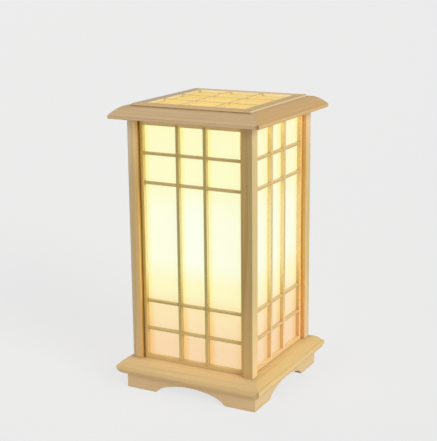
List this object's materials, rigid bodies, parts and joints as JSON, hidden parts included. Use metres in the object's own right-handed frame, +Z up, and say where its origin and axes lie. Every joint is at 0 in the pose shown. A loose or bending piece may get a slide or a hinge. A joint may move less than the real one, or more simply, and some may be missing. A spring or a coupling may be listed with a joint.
{
  "type": "andon floor lamp",
  "caption": "Square wooden andon lantern lamp: lattice and paper sides lit by a bulb inside, a moulded cap with a lift-out lattice panel, and a moulded base on bracket feet.",
  "frame": {"origin": "middle of the footprint, on the surface the lamp stands on", "axes": "+Z up, -Y towards the front, +X to the right of someone who faces the front; the cord's grommet is in the back apron"},
  "size_m": [0.25, 0.25, 0.45],
  "materials": {
    "moulded_pine": "smooth pale softwood with a thin clear coat",
    "lattice_pine": "planed softwood, warm by the light behind it",
    "inner_softwood": "bare softwood",
    "plywood": "bare plywood",
    "paper": "matt, translucent",
    "zinc_steel": "zinc-plated steel",
    "holder_plastic": "black moulded plastic",
    "porcelain": "glazed",
    "brass": "plain brass",
    "cap_metal": "rolled aluminium",
    "opal_glass": "opal, frosted inside",
    "rubber": "matt black rubber"
  },
  "bodies": {
    "lantern": {"apron_front": "moulded_pine", "base_rail_front": "moulded_pine", "cap_rail_front": "moulded_pine", "front_frame": "lattice_pine", "front_uprights": "lattice_pine", "front_cross_bars": "lattice_pine", "front_paper": "paper", "front_beads": "inner_softwood", "apron_right": "moulded_pine", "base_rail_right": "moulded_pine", "cap_rail_right": "moulded_pine", "right_frame": "lattice_pine", "right_uprights": "lattice_pine", "right_cross_bars": "lattice_pine", "right_paper": "paper", "right_beads": "inner_softwood", "apron_back": "moulded_pine", "base_rail_back": "moulded_pine", "cap_rail_back": "moulded_pine", "back_frame": "lattice_pine", "back_uprights": "lattice_pine", "back_cross_bars": "lattice_pine", "back_paper": "paper", "back_beads": "inner_softwood", "apron_left": "moulded_pine", "base_rail_left": "moulded_pine", "cap_rail_left": "moulded_pine", "left_frame": "lattice_pine", "left_uprights": "lattice_pine", "left_cross_bars": "lattice_pine", "left_paper": "paper", "left_beads": "inner_softwood", "post_back_right": "moulded_pine", "post_back_left": "moulded_pine", "post_front_left": "moulded_pine", "post_front_right": "moulded_pine", "corner_blocks": "inner_softwood", "base_board": "plywood", "board_screws": "zinc_steel", "cord_grommet": "rubber", "pipe": "zinc_steel", "pipe_nuts": "zinc_steel", "pipe_washers": "zinc_steel", "holder_cover": "holder_plastic", "holder_skirt": "holder_plastic", "holder_core": "porcelain", "screw_shell": "brass", "centre_contact": "brass"},
    "top_panel": {"lid_frame_front": "moulded_pine", "lid_frame_right": "moulded_pine", "lid_frame_back": "moulded_pine", "lid_frame_left": "moulded_pine", "lid_long_bars": "lattice_pine", "lid_cross_bars": "lattice_pine", "lid_paper": "paper", "lid_beads": "inner_softwood"},
    "bulb": {"bulb_glass": "opal_glass", "bulb_cap": "cap_metal", "bulb_contact": "brass"}
  },
  "joints": [
    {"name": "top_panel_lift", "type": "slide", "parent": "lantern", "child": "top_panel", "axis": [0, 0, 1], "range_m": [0, 0.1]},
    {"name": "bulb_unscrew", "type": "slide", "parent": "lantern", "child": "bulb", "axis": [0, 0, 1], "range_m": [0, 0.03]}
  ]
}
